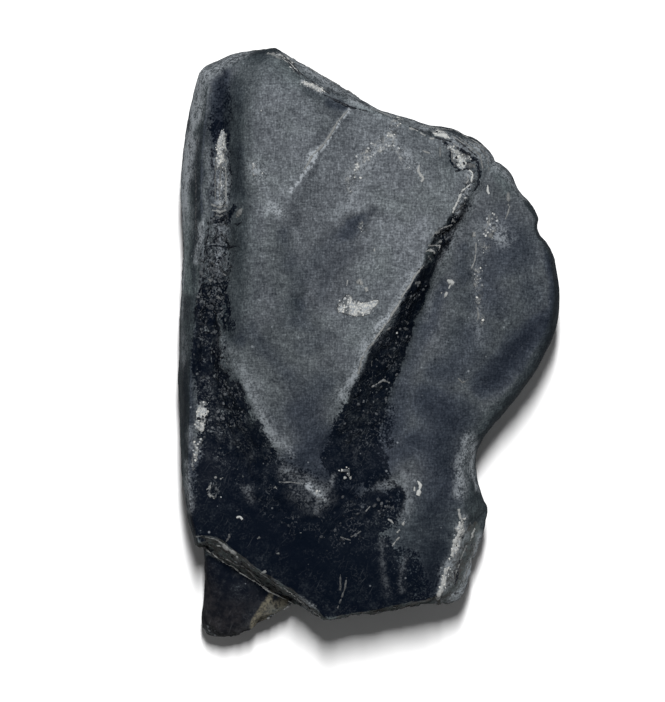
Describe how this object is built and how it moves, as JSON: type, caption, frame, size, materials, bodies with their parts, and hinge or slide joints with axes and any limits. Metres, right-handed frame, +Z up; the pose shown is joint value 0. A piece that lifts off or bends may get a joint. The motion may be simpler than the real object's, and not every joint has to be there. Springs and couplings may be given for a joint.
{
  "type": "fossil tooth",
  "caption": "Fossil plant-eater's cheek tooth lying on its back: a crown with a high off-centre ridge, a weaker second ridge, a notched margin, a worn biting edge and a broken root.",
  "frame": {"origin": "on the resting surface, under the middle of the tooth's outline", "axes": "+Z up, out of the ridged face; +Y along the tooth from the broken root to the biting edge; +X towards the notched margin"},
  "size_m": [0.026, 0.04, 0.0132],
  "materials": {
    "fossil_enamel": "satin blue-grey to black fossil enamel with pale mineral crusts"
  },
  "bodies": {
    "root": {"tooth": "fossil_enamel"}
  },
  "joints": []
}
